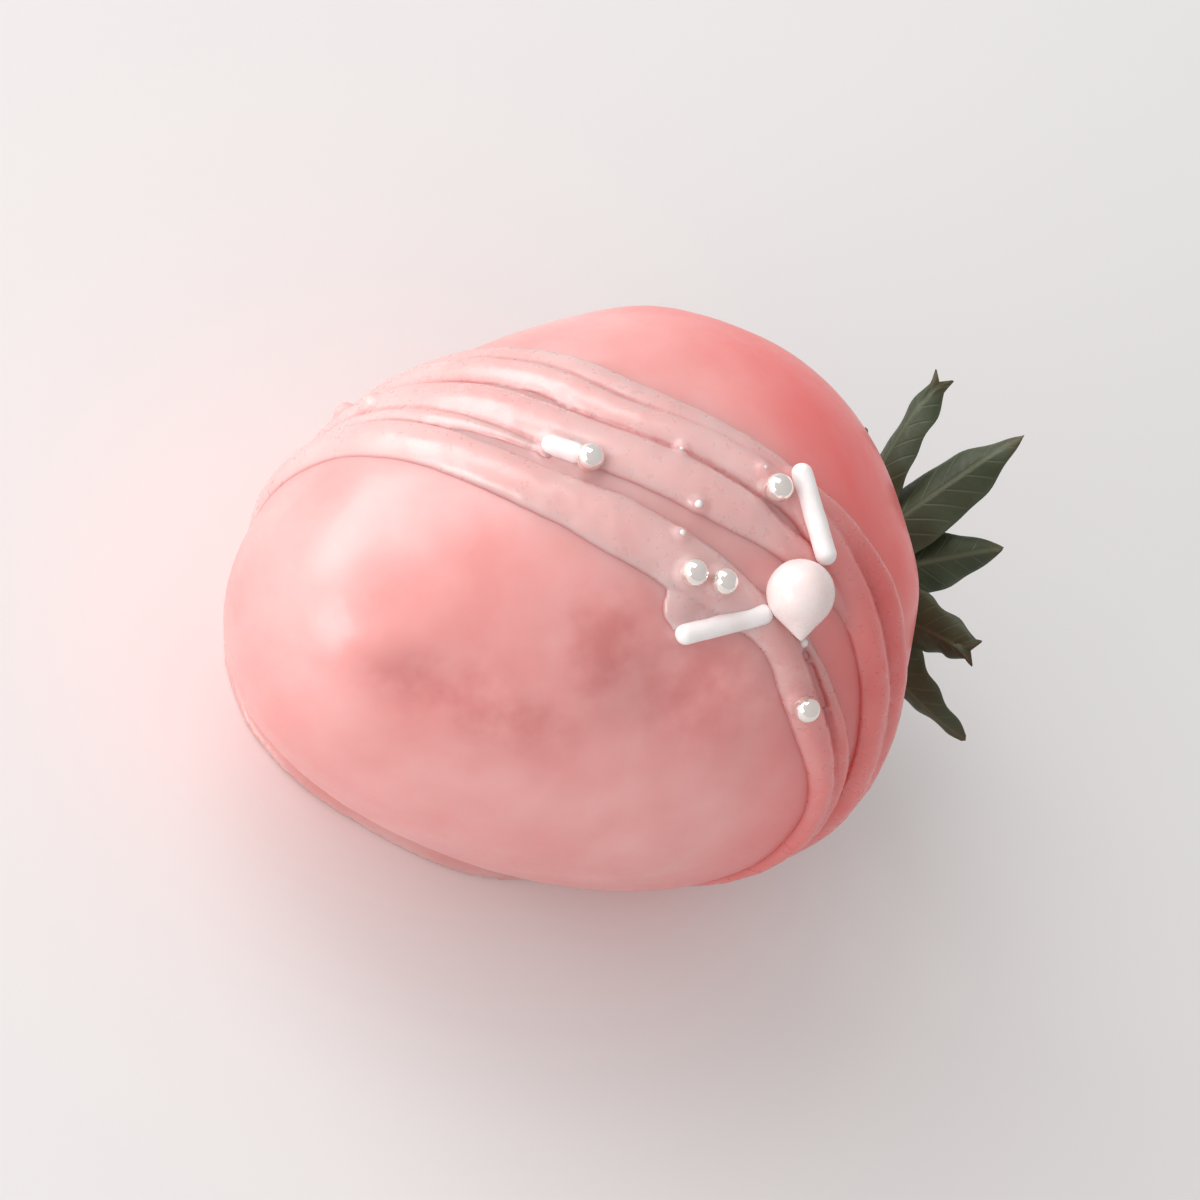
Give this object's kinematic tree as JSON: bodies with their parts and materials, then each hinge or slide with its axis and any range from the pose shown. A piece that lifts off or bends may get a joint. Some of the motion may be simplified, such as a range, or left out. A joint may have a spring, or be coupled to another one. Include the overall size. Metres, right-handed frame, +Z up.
{
  "type": "chocolate coated strawberry",
  "caption": "Strawberry in smooth pink chocolate, lying on its flat set foot, with a band of drizzle, sugar pearls and rods, and a cap of dark green leaves.",
  "frame": {"origin": "in the flat face of the chocolate foot that the berry rests on, below the middle of the berry", "axes": "+Z up, -Y towards the berry's tip, +Y towards its leaves"},
  "size_m": [0.0411, 0.0629, 0.0408],
  "materials": {
    "coat": "pink compound chocolate, satin, faintly mottled",
    "drizzle": "same pink chocolate drizzled on top, satin",
    "pearl": "white sugar pearl with a soft shine",
    "rod": "white pressed sugar rod, matt",
    "dragee": "tiny sugar ball with a pearly metallic shine",
    "leaf": "dark green strawberry leaf with paler veins",
    "stem": "dry green stem stub"
  },
  "bodies": {
    "root": {"coated_berry": "coat", "leaf_cap": "leaf"}
  },
  "joints": []
}
